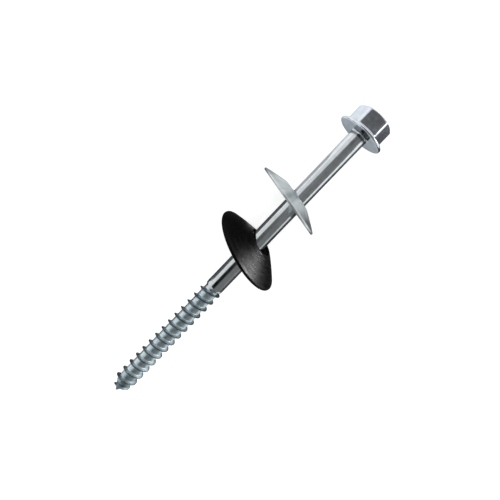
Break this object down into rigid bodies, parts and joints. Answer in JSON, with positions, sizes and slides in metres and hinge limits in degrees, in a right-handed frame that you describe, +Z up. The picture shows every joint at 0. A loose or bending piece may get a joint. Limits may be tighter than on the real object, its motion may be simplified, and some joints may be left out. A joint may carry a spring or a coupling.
{
  "type": "roofing screw",
  "caption": "Long zinc-plated roofing screw with a hexagon flange head, coarse wood thread and point, and loose dished steel and black rubber sealing washers on its plain shank.",
  "frame": {"origin": "on the surface that the screw lies on, under the middle of its bounding box", "axes": "+Z up, +X along the lying screw from the point towards the head, +Y to the side"},
  "size_m": [0.138, 0.0328, 0.0323],
  "materials": {
    "zinc_steel": "bright zinc plating",
    "washer_steel": "satin zinc plating",
    "black_rubber": "satin moulded rubber"
  },
  "bodies": {
    "screw": {"screw": "zinc_steel"},
    "steel_washer": {"steel_washer": "washer_steel"},
    "rubber_washer": {"rubber_washer": "black_rubber"}
  },
  "joints": [
    {"name": "steel_washer_slide", "type": "slide", "parent": "screw", "child": "steel_washer", "axis": [0.9892, 0, -0.1464], "range_m": [-0.007, 0.0288]},
    {"name": "rubber_washer_slide", "type": "slide", "parent": "screw", "child": "rubber_washer", "axis": [0.9892, 0, -0.1464], "range_m": [-0.0225, 0.0092]}
  ]
}
